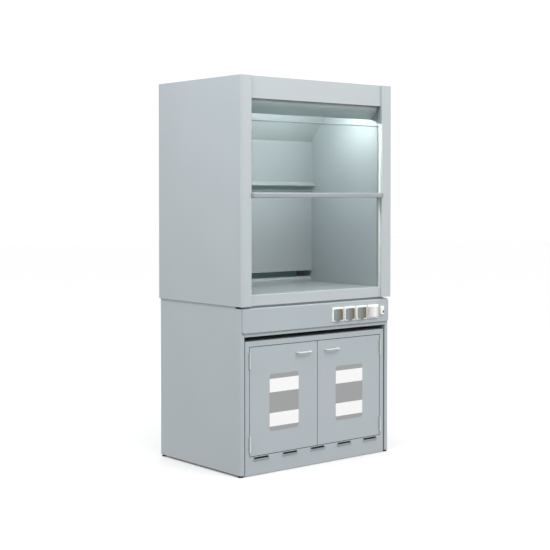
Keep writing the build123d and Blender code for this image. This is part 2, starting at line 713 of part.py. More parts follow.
def fitting_frame(x, w=SOCKET_W, h=SOCKET_H, z=FITTING_Z, t=FRAME_T):
    """White square frame lying on the control panel."""
    plate = block(x - w / 2, x + w / 2, PANEL_FRONT_Y - t, PANEL_FRONT_Y, z - h / 2, z + h / 2)
    plate = fillet(plate.edges().filter_by(Axis.Y), FRAME_RADIUS)
    return chamfer(plate.faces().sort_by(Axis.Y)[0].edges(), FRAME_EDGE)


def fitting_box(x):
    """Box behind the frame, reaching back through the control panel."""
    return block(x - BOX_W / 2, x + BOX_W / 2, PANEL_FRONT_Y - BOX_SINK, PANEL_FRONT_Y + BOX_D,
                 FITTING_Z - BOX_W / 2, FITTING_Z + BOX_W / 2)


def lid_axis():
    """The lid's hinge line, as (y, z)."""
    return PANEL_FRONT_Y - FRAME_T - LID_BARREL_R - LID_GAP, FITTING_Z + LID_H / 2 - LID_BARREL_R


def ear_offset():
    """Distance of an ear's middle from the socket's middle."""
    return LID_W / 2 - LID_T - LID_GAP - EAR_T / 2


def socket_body(index):
    """Socket: frame, round well with two contact holes and two earth clips, and two ears for the lid."""
    x = socket_x(index)
    front = PANEL_FRONT_Y - FRAME_T
    body = fitting_frame(x)
    body += fitting_box(x)
    body -= rod_y(CUP_R, front - 1, front + CUP_DEPTH, x, FITTING_Z)
    for s in (-1, 1):
        body -= rod_y(PIN_HOLE_R, front + CUP_DEPTH - 1, front + CUP_DEPTH + PIN_HOLE_DEPTH,
                      x + s * PIN_HOLE_PITCH / 2, FITTING_Z)
        clip_z = FITTING_Z + s * CUP_R
        body += block(x - CLIP_W / 2, x + CLIP_W / 2, front + CLIP_SET, front + CUP_DEPTH,
                      clip_z - CLIP_H / 2, clip_z + CLIP_H / 2)
    y, z = lid_axis()
    for s in (-1, 1):
        e = x + s * ear_offset()
        ear = rod_x(LID_BARREL_R, e - EAR_T / 2, e + EAR_T / 2, y, z)
        ear += block(e - EAR_T / 2, e + EAR_T / 2, y, front + 1, z - LID_BARREL_R, z + LID_BARREL_R)
        body += ear - rod_x(LID_AXLE_R + LID_AXLE_PLAY, e - EAR_T, e + EAR_T, y, z)
    return body


def socket_lid(index):
    """Smoked lid: a bowed shell with a finger tab, turning on two short axles between the frame's ears."""
    x = socket_x(index)
    y, z = lid_axis()
    back = PANEL_FRONT_Y - FRAME_T - LID_GAP
    low = FITTING_Z - LID_H / 2
    top = z + LID_BARREL_R
    x0, x1 = x - LID_W / 2, x + LID_W / 2
    shell = lid_bow(x0, x1, back, LID_SIDE, LID_BULGE, low, top)
    room = lid_bow(x0 + LID_T, x1 - LID_T, back + 1, LID_SIDE + 1 - LID_T, LID_BULGE + 1 - LID_T,
                   low + LID_T, top - LID_T)
    lid = shell - room
    lid -= block(x0 - 1, x1 + 1, y, back + 1, z, top + 1)
    lid += rod_x(LID_BARREL_R, x0, x1, y, z)
    half = EAR_T / 2 + LID_GAP
    for s in (-1, 1):
        e = x + s * ear_offset()
        lid -= block(e - half, e + half, y - 2 * LID_BARREL_R, back + 1,
                     z - LID_BARREL_R - LID_GAP, z + LID_BARREL_R + LID_GAP)
        lid += rod_x(LID_AXLE_R, e - half - 1, e + half + 1, y, z)
    tab = block(x - TAB_W / 2, x + TAB_W / 2, back - LID_BULGE + 1, back - 3, low - TAB_H, low + LID_T)
    tab = fillet(tab.edges().filter_by(Axis.Y).group_by(Axis.Z)[0], 4)
    return lid + tab


def lid_bow(x0, x1, back, side, bulge, z0, z1):
    """Solid with a flat back and a front bowed about a vertical line."""
    xm = (x0 + x1) / 2
    edge = [Line((x0, back), (x0, back - side)),
            ThreePointArc((x0, back - side), (xm, back - bulge), (x1, back - side)),
            Line((x1, back - side), (x1, back)), Line((x1, back), (x0, back))]
    return along_z(make_face(Wire(edge)), z0, z1)


def switch_well():
    """Half the width of the opening inside the switch's frame."""
    return BOX_W / 2 - SWITCH_RIM


def rocker_axis_y():
    """Depth of the rocker's pivot line."""
    return PANEL_FRONT_Y - ROCKER_SET


def switch_frame():
    """Frame of the switch, open in the middle, with two pivot holes at its sides."""
    x = socket_x(3)
    frame = fitting_frame(x) + fitting_box(x)
    w = switch_well()
    frame -= block(x - w, x + w, PANEL_FRONT_Y - FRAME_T - 1, PANEL_FRONT_Y + SWITCH_DEPTH,
                   FITTING_Z - w, FITTING_Z + w)
    y = rocker_axis_y()
    reach = w + ROCKER_AXLE_IN + LID_GAP
    return frame - rod_x(ROCKER_AXLE_R + ROCKER_AXLE_PLAY, x - reach, x + reach, y, FITTING_Z)


def switch_rocker():
    """Bowed rocker on two pivots."""
    x = socket_x(3)
    back = PANEL_FRONT_Y - FRAME_T - ROCKER_BACK
    low, top = FITTING_Z - ROCKER_H / 2, FITTING_Z + ROCKER_H / 2
    plate = lid_bow(x - ROCKER_W / 2, x + ROCKER_W / 2, back, ROCKER_SIDE, ROCKER_BULGE, low, top)
    ends = plate.edges().group_by(Axis.Z)
    plate = chamfer(ends[-1] + ends[0], ROCKER_EDGE)
    y = rocker_axis_y()
    w = switch_well()
    half = w - ROCKER_STEM_PLAY
    stem = block(x - half, x + half, back - 1, y + ROCKER_AXLE_R,
                 FITTING_Z - ROCKER_STEM_H / 2, FITTING_Z + ROCKER_STEM_H / 2)
    axle = rod_x(ROCKER_AXLE_R, x - w - ROCKER_AXLE_IN, x + w + ROCKER_AXLE_IN, y, FITTING_Z)
    return plate + stem + axle


def starter_body():
    """Small upright body beside the switch, with a pocket for its button."""
    z = FITTING_Z + STARTER_RISE
    body = fitting_frame(STARTER_X, STARTER_W, STARTER_H, z, STARTER_T)
    half_w, half_h = STARTER_W / 2 - STARTER_WALL, STARTER_H / 2 - STARTER_WALL
    body += block(STARTER_X - half_w, STARTER_X + half_w, PANEL_FRONT_Y - BOX_SINK,
                  PANEL_FRONT_Y + STARTER_BODY_D, z - half_h, z + half_h)
    bx, bz = STARTER_X + BUTTON_X, z + BUTTON_Z
    w, h = BUTTON_W / 2 + BUTTON_PLAY, BUTTON_H / 2 + BUTTON_PLAY
    deep = PANEL_FRONT_Y - STARTER_T + BUTTON_DEPTH + BUTTON_STROKE + 1
    return body - block(bx - w, bx + w, PANEL_FRONT_Y - STARTER_T - 1, deep, bz - h, bz + h)


def starter_button():
    """Green push button in the starter body."""
    bx, bz = STARTER_X + BUTTON_X, FITTING_Z + STARTER_RISE + BUTTON_Z
    front = PANEL_FRONT_Y - STARTER_T
    button = block(bx - BUTTON_W / 2, bx + BUTTON_W / 2, front - BUTTON_OUT, front + BUTTON_DEPTH,
                   bz - BUTTON_H / 2, bz + BUTTON_H / 2)
    return fillet(button.faces().sort_by(Axis.Y)[0].edges(), 1)


# Cabinet
def cabinet_carcass():
    """Sides, top, bottom and back of the cabinet, open in front, the sides standing on the floor."""
    x, y0, y1 = CAB_HALF_W, CAB_FRONT_Y + CAB_SHEET, CAB_BACK_Y
    box = block(-x, x, y0, y1, 0, CAB_TOP_Z)
    box -= block(-x + CAB_SHEET, x - CAB_SHEET, y0 - 1, y1 - CAB_SHEET, OPEN_LOW_Z, CAB_TOP_Z - CAB_SHEET)
    return box - block(-x + CAB_SHEET, x - CAB_SHEET, y0 - 1, y1 - CAB_SHEET, -1, OPEN_LOW_Z - CAB_SHEET)


def vent_x(index):
    """Middle of a vent, counted from the left."""
    return (index - (VENT_COUNT - 1) / 2) * VENT_PITCH


def cabinet_front():
    """Front frame: stiles and head folded back round the opening, and a plinth with scoop vents."""
    x, y0, y1 = CAB_HALF_W, CAB_FRONT_Y, CAB_FRONT_Y + CAB_SHEET
    face = block(-x, x, y0, y1, PLINTH_LOW_Z, CAB_TOP_Z)
    face -= block(-OPEN_HALF_W, OPEN_HALF_W, y0 - 1, y1 + 1, OPEN_LOW_Z, OPEN_TOP_Z)
    fold = block(-OPEN_HALF_W - CAB_SHEET, OPEN_HALF_W + CAB_SHEET, y0 + 0.5, y0 + FRAME_FOLD,
                 OPEN_LOW_Z, OPEN_TOP_Z + CAB_SHEET)
    fold -= block(-OPEN_HALF_W, OPEN_HALF_W, y0 - 1, y0 + FRAME_FOLD + 1, OPEN_LOW_Z - 1, OPEN_TOP_Z)
    face += fold
    for i in range(VENT_COUNT):
        a, b = vent_x(i) - VENT_W / 2, vent_x(i) + VENT_W / 2
        face -= block(a, b, y0 - 1, y1 + 1, VENT_SCOOP_Z + VENT_FOOT, VENT_TOP_Z)
        face += vent_scoop(a, b)
    return face


def vent_scoop(x0, x1):
    """Lip pressed forward under a vent, open at the top, closed at both ends."""
    y0, y1 = CAB_FRONT_Y, CAB_FRONT_Y + CAB_SHEET
    tip, t = CAB_FRONT_Y - VENT_SCOOP, VENT_SHEET
    outer = outline([(y1, VENT_SCOOP_Z), (y0, VENT_SCOOP_Z), (tip, VENT_LOW_Z), (tip + t, VENT_LOW_Z + t / 2),
                     (y1, VENT_SCOOP_Z + VENT_FOOT + t)])
    cheek = outline([(y1, VENT_SCOOP_Z), (y0, VENT_SCOOP_Z), (tip, VENT_LOW_Z), (y0, VENT_TOP_Z),
                     (y1, VENT_TOP_Z)])
    scoop = along_x(outer, x0, x1)
    return scoop + along_x(cheek, x0, x0 + t) + along_x(cheek, x1 - t, x1)


def door_right():
    """Door: a pan folded back at its four edges."""
    x0, x1 = DOOR_GAP / 2, OPEN_HALF_W - DOOR_GAP
    z0, z1 = OPEN_LOW_Z + DOOR_GAP, OPEN_TOP_Z - DOOR_GAP
    y0, y1 = CAB_FRONT_Y, CAB_FRONT_Y + DOOR_T
    pan = block(x0, x1, y0, y1, z0, z1)
    pan = fillet(pan.edges().filter_by(Axis.Z).group_by(Axis.Y)[0], DOOR_EDGE)
    s, lip = DOOR_SKIN, DOOR_LIP
    pan -= block(x0 + s, x1 - s, y0 + s, y1 - s, z0 + s, z1 - s)
    return pan - block(x0 + lip, x1 - lip, y1 - 2 * s, y1 + 1, z0 + lip, z1 - lip)


def hinge_z(upper):
    """Middle of a door's upper or lower hinge."""
    return OPEN_TOP_Z - HINGE_HIGH if upper else OPEN_LOW_Z + HINGE_LOW


def knuckle(z, index, x, bore=None):
    """One knuckle of a hinge, with its bore if it turns on the pin."""
    pitch = HINGE_LEN / HINGE_KNUCKLES
    z0 = z - HINGE_LEN / 2 + index * pitch + HINGE_END_GAP / 2
    z1 = z0 + pitch - HINGE_END_GAP
    body = rod_z(HINGE_R, z0, z1, x, HINGE_AXIS_Y)
    if bore:
        body -= rod_z(bore, z0 - 1, z1 + 1, x, HINGE_AXIS_Y)
    return body, z0, z1


def hinge_frame_leaf(upper):
    """Leaf on the frame's inner edge (right door), with its two knuckles and the pin."""
    x, z = HINGE_AXIS_X, hinge_z(upper)
    x1 = OPEN_HALF_W
    x0 = x1 - HINGE_LEAF
    start = HINGE_AXIS_Y + HINGE_R + HINGE_SWING_GAP
    leaf = block(x0, x1, start, HINGE_DEEP_Y, z - HINGE_LEN / 2, z + HINGE_LEN / 2)
    for i in (0, 2):
        body, z0, z1 = knuckle(z, i, x)
        leaf += body + block(x0, x1, HINGE_AXIS_Y, start + 1, z0, z1)
    return leaf + rod_z(HINGE_PIN_R, z - HINGE_LEN / 2 + 1, z + HINGE_LEN / 2 + 1, x, HINGE_AXIS_Y)


def hinge_door_leaf(upper):
    """Leaf on the door's edge (right door), with the two knuckles that turn on the pin."""
    x, z = HINGE_AXIS_X, hinge_z(upper)
    x0 = OPEN_HALF_W - DOOR_GAP
    x1 = x0 + HINGE_LEAF
    start = HINGE_AXIS_Y + HINGE_R + HINGE_SWING_GAP
    leaf = block(x0, x1, start, HINGE_DEEP_Y, z - HINGE_LEN / 2, z + HINGE_LEN / 2)
    for i in (1, 3):
        body, z0, z1 = knuckle(z, i, x, bore=HINGE_PIN_R + HINGE_PIN_PLAY)
        tab = block(x0, x1, HINGE_AXIS_Y, start + 1, z0, z1)
        tab -= rod_z(HINGE_PIN_R + HINGE_PIN_PLAY, z0 - 1, z1 + 1, x, HINGE_AXIS_Y)
        leaf += body + tab
    return leaf


def door_pull_right():
    """Bow handle: two legs and a straight grip in one round bar."""
    xm = PULL_FROM_MIDDLE
    x0, x1 = xm - PULL_PITCH / 2, xm + PULL_PITCH / 2
    y0, y1 = CAB_FRONT_Y, CAB_FRONT_Y - PULL_REACH + PULL_R
    path = FilletPolyline((x0, y0, PULL_Z), (x0, y1, PULL_Z), (x1, y1, PULL_Z), (x1, y0, PULL_Z),
                          radius=PULL_BEND)
    section = Plane(origin=(x0, y0, PULL_Z), z_dir=(0, -1, 0)) * Circle(PULL_R)
    return sweep(section, path=path)


def info_plate_right():
    """Thin bare plate with rounded corners on the door."""
    x, z = PLATE_X, PLATE_Z
    plate = block(x - PLATE_W / 2, x + PLATE_W / 2, CAB_FRONT_Y - PLATE_T, CAB_FRONT_Y,
                  z - PLATE_H / 2, z + PLATE_H / 2)
    return fillet(plate.edges().filter_by(Axis.Y), PLATE_RADIUS)


def build():
    """Every piece by its node name."""
    pieces = {
        "outer_side_right": outer_side_right(),
        "roof_panel": roof_panel(),
        "exhaust_collar": exhaust_collar(),
        "fascia": fascia(),
        "rear_panel": rear_panel(),
        "front_sill": front_sill(),
        "worktop": worktop(),
        "liner_right": liner_right(),
        "sash_guide_right": sash_guide_right(),
        "sash_pane_front": sash_pane_front(),
        "sash_pane_rear": sash_pane_rear(),
        "sash_handle": sash_handle(),
        "handle_cap_right": handle_cap_right(),
        "air_valance": air_valance(),
        "liner_ceiling": liner_ceiling(),
        "lamp_lens": lamp_lens(),
        "lamp_housing": lamp_housing(),
        "baffle_upper": baffle_upper(),
        "baffle_middle": baffle_middle(),
        "baffle_lower": baffle_lower(),
        "base_side_right": base_side_right(),
        "base_front_rail": base_front_rail(),
        "base_back_panel": base_back_panel(),
        "control_panel": control_panel(),
        "switch_frame": switch_frame(),
        "switch_rocker": switch_rocker(),
        "starter_body": starter_body(),
        "starter_button": starter_button(),
        "cabinet_carcass": cabinet_carcass(),
        "cabinet_front": cabinet_front(),
        "door_right": door_right(),
        "door_pull_right": door_pull_right(),
        "info_plate_right": info_plate_right(),
    }
    for level, upper in (("low", False), ("high", True)):
        pieces[f"hinge_frame_leaf_{level}_right"] = hinge_frame_leaf(upper)
        pieces[f"hinge_door_leaf_{level}_right"] = hinge_door_leaf(upper)
    pieces["foot_front_right"] = foot(FOOT_X, FOOT_FRONT_Y)
    pieces["foot_back_right"] = foot(FOOT_X, FOOT_BACK_Y)
    for name in [n for n in pieces if n.endswith("_right")]:
        pieces[name.replace("_right", "_left")] = mirrored(pieces[name])
    for i in range(3):
        pieces[f"socket_body_{i + 1}"] = socket_body(i)
        pieces[f"socket_lid_{i + 1}"] = socket_lid(i)
    return pieces


os.makedirs("parts", exist_ok=True)
for name, drawn in build().items():
    piece = Pos(0, MIDDLE_SHIFT, 0) * drawn
    piece.label = name
    export_step(piece, f"parts/{name}.step")
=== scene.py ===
"""Finishes for a fume hood: coats, glass, fittings, strips and screws, and a studio to look at it in."""

import math

import bmesh
import bpy
from bpy.props import FloatProperty, FloatVectorProperty, IntProperty, PointerProperty
from bpy.types import Operator, Panel, PropertyGroup
from mathutils import Matrix, Vector


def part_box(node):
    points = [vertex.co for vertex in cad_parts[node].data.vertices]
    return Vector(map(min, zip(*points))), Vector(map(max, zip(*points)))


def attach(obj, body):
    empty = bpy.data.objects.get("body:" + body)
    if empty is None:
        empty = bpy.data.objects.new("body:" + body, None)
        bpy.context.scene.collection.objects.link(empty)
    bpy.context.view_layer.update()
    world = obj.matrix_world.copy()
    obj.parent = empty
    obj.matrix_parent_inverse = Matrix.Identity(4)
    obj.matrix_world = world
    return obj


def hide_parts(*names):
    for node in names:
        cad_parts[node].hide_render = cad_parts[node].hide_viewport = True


bl_info = {
    "name": "Fume Hood Finishes",
    "version": (1, 0, 0),
    "blender": (4, 5, 0),
    "location": "3D View > Sidebar > Fume Hood",
    "description": "Dresses a fume hood with its coats, glass, fittings, strips and screws",
    "category": "Object",
}

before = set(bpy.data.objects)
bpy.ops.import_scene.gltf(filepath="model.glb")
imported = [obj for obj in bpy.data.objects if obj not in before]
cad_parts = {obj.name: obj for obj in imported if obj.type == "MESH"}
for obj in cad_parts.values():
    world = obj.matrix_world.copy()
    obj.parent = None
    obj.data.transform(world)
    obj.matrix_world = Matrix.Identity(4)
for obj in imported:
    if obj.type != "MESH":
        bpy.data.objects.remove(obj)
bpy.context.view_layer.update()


# Settings
def colour(name, description, default):
    """A colour that a user may change."""
    return FloatVectorProperty(name=name, description=description, default=default, size=3,
                               subtype="COLOR", min=0.0, max=1.0)


def length(name, description, default, highest=0.1):
    """A length in metres."""
    return FloatProperty(name=name, description=description, default=default, min=0.0, max=highest,
                         unit="LENGTH")


def fraction(name, description, default):
    """A share from 0 to 1."""
    return FloatProperty(name=name, description=description, default=default, min=0.0, max=1.0,
                         subtype="FACTOR")


def watts(name, description, default):
    """A light's power."""
    return FloatProperty(name=name, description=description, default=default, min=0.0, max=2000.0,
                         unit="POWER")


def brightness(name, description, default):
    """The strength of a part of the sky."""
    return FloatProperty(name=name, description=description, default=default, min=0.0, max=5.0)


class CasingSettings(PropertyGroup):
    coat: colour("Coat", "Powder coat of the sides, the base and the cabinet", (0.425, 0.474, 0.502))
    # The front coat is a lighter copy of the casing's coat: painted light where the light from the front
    # falls.
    front: colour("Front Coat", "Coat of the posts' faces, the fascia and the sill", (0.490, 0.530, 0.548))
    # The chamber's coat is a darker copy of the casing's coat: painted shade inside the chamber.
    chamber: colour("Chamber", "Coat of the sheets inside the chamber", (0.262, 0.290, 0.302))
    # The valance's colour is scaled up its height when it is coated: painted light near the top, painted
    # shade towards the foot.
    valance: colour("Valance", "Coat of the curved sheet behind the fascia", (0.330, 0.378, 0.384))
    plenum: colour("Plenum", "Inner face of the rear panel, seen through the slots", (0.42, 0.62, 0.64))
    # The wall laminate is darker too: painted shade inside the chamber.
    wall: colour("Inner Wall", "Laminate of the chamber's side walls", (0.280, 0.312, 0.326))
    roughness: fraction("Roughness", "How matt the powder coat is", 0.45)
    grain: FloatProperty(name="Grain", description="Bumps per metre of the powder coat",
                         default=620.0, min=50.0, max=3000.0)
    # The sill's darker top edge is painted shade over the light that falls on that edge.
    sill_edge: length("Sill Edge", "Height of the darker edge along the sill's top", 0.003)
    sill_painted_shade: fraction("Sill Shade", "Share of the front coat's lightness left on that edge", 0.82)
    # The left post's rolled edge is darkened towards its outer side: painted shade.
    roll: length("Post Roll", "Width of the left post's rolled edge", 0.027)


class SashSettings(PropertyGroup):
    glass: colour("Glass", "Tint of the panes", (0.20, 0.27, 0.27))
    density: fraction("Density", "Share of the light that a pane holds back", 0.11)
    rim_density: fraction("Rim Density", "Share of the light that a pane's top rim holds back", 0.5)
    edge: colour("Edge", "Ground edges of the panes", (0.36, 0.45, 0.46))
    rim: length("Rim", "Height of the ground rim along the panes' tops", 0.008)
    bevel: length("Edge Bevel", "Width of the ground bevel on the panes", 0.0008)
    bar: colour("Handle Bar", "Coat of the handle bar", (0.33, 0.355, 0.385))
    cap: colour("End Caps", "Plastic of the handle bar's end caps", (0.25, 0.27, 0.295))
    guide: colour("Guides", "White plastic of the sash guides", (0.67, 0.675, 0.635))


class FittingSettings(PropertyGroup):
    white: colour("White", "Moulded frames of the sockets and the switch", (0.93, 0.935, 0.885))
    # The rocker's colour is shaded across its width when it is coated: painted shade at the sides and a
    # painted highlight in the middle.
    rocker: colour("Rocker", "The switch's rocker", (0.90, 0.885, 0.885))
    # The cool grey-blue at the lids' left edge is a painted reflection.
    smoke_left_reflection: colour("Smoke, Left", "Smoked lids towards their left edge", (0.27, 0.325, 0.345))
    smoke_right: colour("Smoke, Right", "Smoked lids towards their right edge", (0.165, 0.115, 0.06))
    green: colour("Green", "The starter's push button", (0.01, 0.19, 0.19))
    pull: colour("Door Pulls", "Light coat of the bow handles", (0.70, 0.70, 0.68))
    hinge: colour("Hinges", "Steel of the butt hinges", (0.56, 0.56, 0.55))
    plate_grey: colour("Plate, Grey", "Grey fields of the bare plates", (0.335, 0.340, 0.344))
    plate_white: colour("Plate, White", "White fields of the bare plates", (0.96, 0.96, 0.96))


class StripSettings(PropertyGroup):
    # The strips' black also paints the shade in the gaps round the doors, beside the cabinet and in the
    # vents; the feet are plain black rubber.
    rubber: colour("Rubber", "Black rubber of the strips and the feet", (0.018, 0.018, 0.019))
    gap: length("Door Gap", "Gap between a door and the frame round it", 0.004)
    thick: length("Gasket", "Thickness of the strips in that gap", 0.0036)
    edge_thick: length("Edge Gasket", "Thickness of the strip on the left door's free edge", 0.0022)
    recess: length("Recess", "How far the gaskets lie behind the doors' faces", 0.0008)
    depth: length("Depth", "How deep the gaskets reach into the gap", 0.0172)
    hinge_gap: length("Hinge Gap", "Clearance between a gasket's end and a hinge", 0.001)
    bumper: length("Bumper", "Thickness of the strips beside the cabinet", 0.002)
    bevel: length("Strip Bevel", "Bevel on the edges of the strips", 0.0004)
    baffle_half: length("Baffle Half Width", "Half of the vent baffle's width", 0.50, highest=1.0)
    baffle_back: length("Baffle Setback", "How far the vent baffle lies behind the doors' faces", 0.0095)
    baffle_thick: length("Baffle Thickness", "Thickness of the vent baffle", 0.0015)
    baffle_drop: length("Baffle Drop", "From the doors' lower edge down to the baffle's top", 0.0059)
    baffle_high: length("Baffle Height", "Height of the vent baffle", 0.0356)


class ScrewSettings(PropertyGroup):
    steel: colour("Steel", "Steel of the screws' heads", (0.70, 0.70, 0.69))
    head: length("Head", "Diameter of a screw's head", 0.0085)
    sides: IntProperty(name="Sides", description="Facets round a screw's head", default=20, min=8, max=48)
    rear_count: IntProperty(name="Rear Count", description="Screws along each side of the rear panel",
                            default=7, min=2, max=20)
    rear_inset: length("Rear Inset", "From the rear panel's side edge to the screws' middle", 0.0085)
    rear_end: length("Rear End", "From the rear panel's lower and upper edge to the first screw", 0.06)
    ring_count: IntProperty(name="Ring Count", description="Screws round the collar's ring",
                            default=6, min=3, max=24)
    ring_inset: length("Ring Inset", "From the ring's edge to the screws' middle", 0.010)
    ring_thick: length("Ring Thickness", "Height of the ring above the roof", 0.002)


class StageSettings(PropertyGroup):
    floor: colour("Floor", "Colour of the floor", (0.83, 0.83, 0.83))
    above: brightness("Light from Above", "Strength of the sky overhead", 1.25)
    level: brightness("Light from All Round", "Strength of the sky at eye level", 1.02)
    below: brightness("Light from Below", "Strength of the light that the ground throws back", 0.22)
    key: watts("Key", "Power of the large light in front", 128.0)
    side: watts("Side Light", "Power of the light high on the left", 52.0)
    lamp: watts("Lamp", "Power of the light in the chamber", 24.0)
    lamp_count: IntProperty(name="Lamp Lights", description="Round lights in the row under the lamp's lens",
                            default=6, min=1, max=20)
    lamp_reach: fraction("Lamp Reach", "Share of the lens's length that the row fills", 0.82)
    lamp_drop: length("Lamp Drop", "How far under the lens the row hangs", 0.012)
    lens: FloatProperty(name="Camera Lens", description="Focal length of the camera, in millimetres",
                        default=79.96, min=20.0, max=200.0)


# Materials
def set_stops(ramp, stops):
    """Give a colour ramp its stops, each a place and a colour."""
    elements = ramp.color_ramp.elements
    elements.remove(elements[1])
    for i, (place, tint) in enumerate(stops):
        element = elements.new(place) if i else elements[0]
        element.position = place
        element.color = (*tint, 1)


def shades(base, factors):
    """Stops for a ramp: a colour times a factor at each place."""
    return [(place, [min(c * factor, 0.95) for c in base]) for place, factor in factors]


class Finish:
    """A material in the making, with the object coordinates that its textures follow."""

    def __init__(self, name):
        self.material = bpy.data.materials.new(name)
        self.material.use_nodes = True
        self.nodes = self.material.node_tree.nodes
        self.links = self.material.node_tree.links
        self.shader = self.nodes["Principled BSDF"]
        self.coords = self.nodes.new("ShaderNodeTexCoord").outputs["Object"]

    def number(self, socket, value):
        """Set one of the shader's own sockets."""
        self.shader.inputs[socket].default_value = value

    def paint(self, colour_output):
        """Give the shader its colour."""
        self.links.new(colour_output, self.shader.inputs["Base Color"])

    def stretch(self, scale):
        """Stretch the textures that follow."""
        mapping = self.nodes.new("ShaderNodeMapping")
        mapping.inputs["Scale"].default_value = scale
        self.links.new(self.coords, mapping.inputs["Vector"])
        self.coords = mapping.outputs["Vector"]

    def noise(self, scale, detail):
        """Soft noise over the surface."""
        noise = self.nodes.new("ShaderNodeTexNoise")
        noise.inputs["Scale"].default_value = scale
        noise.inputs["Detail"].default_value = detail
        self.links.new(self.coords, noise.inputs["Vector"])
        return noise.outputs["Fac"]

    def along(self, axis):
        """The place on one axis."""
        axes = self.nodes.new("ShaderNodeSeparateXYZ")
        self.links.new(self.coords, axes.inputs["Vector"])
        return axes.outputs[axis]

    def span(self, value, low, high, first=0.0, last=1.0):
        """A number that runs from first to last while the value runs from low to high."""
        span = self.nodes.new("ShaderNodeMapRange")
        for socket, number in (("From Min", low), ("From Max", high), ("To Min", first), ("To Max", last)):
            span.inputs[socket].default_value = number
        self.links.new(value, span.inputs["Value"])
        return span.outputs["Result"]

    def maths(self, operation, first, second):
        """A Math node on an output and on a number or another output."""
        node = self.nodes.new("ShaderNodeMath")
        node.operation = operation
        self.links.new(first, node.inputs[0])
        if isinstance(second, float):
            node.inputs[1].default_value = second
        else:
            self.links.new(second, node.inputs[1])
        return node.outputs["Value"]

    def ramp(self, value, stops, stepped=False):
        """Colours along a value from 0 to 1, blended or in steps."""
        ramp = self.nodes.new("ShaderNodeValToRGB")
        if stepped:
            ramp.color_ramp.interpolation = "CONSTANT"
        set_stops(ramp, stops)
        self.links.new(value, ramp.inputs["Fac"])
        return ramp.outputs["Color"]

    def mix(self, value, first, second):
        """The first colour where the value is 0, the second where it is 1."""
        mix = self.nodes.new("ShaderNodeMix")
        mix.data_type = "RGBA"
        self.links.new(value, mix.inputs["Factor"])
        self.links.new(first, mix.inputs["A"])
        self.links.new(second, mix.inputs["B"])
        return mix.outputs["Result"]

    def tone(self, base, scale, amount):
        """A colour with faint patches of lighter and darker tone."""
        darker = [c * (1 - amount) for c in base]
        lighter = [min(c * (1 + amount), 1) for c in base]
        return self.ramp(self.noise(scale, detail=4.0), ((0.30, darker), (0.70, lighter)))

    def coat_tone(self, base):
        """A powder coat's colour, in broad, faint patches."""
        return self.tone(base, scale=2.2, amount=0.018)

    def rough(self, scale, low, high):
        """Roughness that varies a little over the surface."""
        patches = self.span(self.noise(scale, detail=3.0), 0.0, 1.0, first=low, last=high)
        self.links.new(patches, self.shader.inputs["Roughness"])

    def raise_by(self, height, strength, distance):
        """Bumps as high as a texture says."""
        bump = self.nodes.new("ShaderNodeBump")
        bump.inputs["Strength"].default_value = strength
        bump.inputs["Distance"].default_value = distance
        self.links.new(height, bump.inputs["Height"])
        self.links.new(bump.outputs["Normal"], self.shader.inputs["Normal"])

    def grain(self, scale, strength, distance=0.0002):
        """Fine bumps over the surface."""
        self.raise_by(self.noise(scale, detail=2.0), strength, distance)

    def powder(self, roughness, grain):
        """Surface of a satin powder coat, with faint orange peel; gives the finished material."""
        self.rough(scale=9.0, low=roughness - 0.04, high=roughness + 0.04)
        self.grain(grain, strength=0.10, distance=0.0004)
        return self.material


def powder_coat(name, base, roughness, grain):
    """Powder coat in one colour."""
    finish = Finish(name)
    finish.paint(finish.coat_tone(base))
    return finish.powder(roughness, grain)


def two_tone_coat(name, first, second, roughness, grain, second_share):
    """Powder coat in two colours; second_share(finish) gives the second one's share."""
    finish = Finish(name)
    finish.paint(finish.mix(second_share(finish), finish.coat_tone(first), finish.coat_tone(second)))
    return finish.powder(roughness, grain)


def beyond(axis, place):
    """A share for two_tone_coat: all of the second colour past a place on one axis."""
    return lambda finish: finish.maths("GREATER_THAN", finish.along(axis), place)


def post_light_and_shade_share(inner, outer, roll):
    """A share for two_tone_coat: the sides' darker colour on the posts' returns and sides, so that the
    lighter front colour on the posts' faces is painted light from the front, and a part of the darker colour
    on the left post's rolled edge as painted shade."""
    def second_share(finish):
        across = finish.along("X")
        away = finish.maths("MAXIMUM", across, finish.maths("MULTIPLY", across, -1.0))
        side = finish.maths("GREATER_THAN", away, outer)
        fold = finish.maths("LESS_THAN", away, inner)
        rolled_shade = finish.span(across, roll - outer, -outer, last=0.65)
        return finish.maths("MAXIMUM", finish.maths("MAXIMUM", side, fold), rolled_shade)
    return second_share


def painted_light_shade_coat(name, base, low, high, factors, roughness, grain):
    """Powder coat with painted light and painted shade up a piece's height: factors are (height, factor on
    the colour).
    """
    finish = Finish(name)
    up = finish.span(finish.along("Z"), low, high)
    finish.paint(finish.ramp(up, shades(base, factors)))
    return finish.powder(roughness, grain)


def laminate(name, base):
    """Smooth wall laminate with a very fine pearl texture."""
    finish = Finish(name)
    finish.paint(finish.tone(base, scale=3.5, amount=0.012))
    finish.rough(scale=30.0, low=0.34, high=0.42)
    finish.grain(1500.0, strength=0.05)
    return finish.material


def moulded(name, base, roughness=0.32, grain=900.0, strength=0.05):
    """Moulded plastic with a fine spark texture."""
    finish = Finish(name)
    finish.paint(finish.tone(base, scale=25.0, amount=0.012))
    finish.rough(scale=60.0, low=roughness - 0.03, high=roughness + 0.05)
    finish.grain(grain, strength)
    return finish.material


def brushed_metal(name, base, along, roughness):
    """Metal with fine brush lines along one direction."""
    finish = Finish(name)
    finish.stretch(along)
    finish.paint(finish.tone(base, scale=18.0, amount=0.07))
    finish.rough(scale=22.0, low=roughness - 0.07, high=roughness + 0.08)
    finish.grain(40.0, strength=0.06)
    finish.number("Metallic", 1.0)
    return finish.material


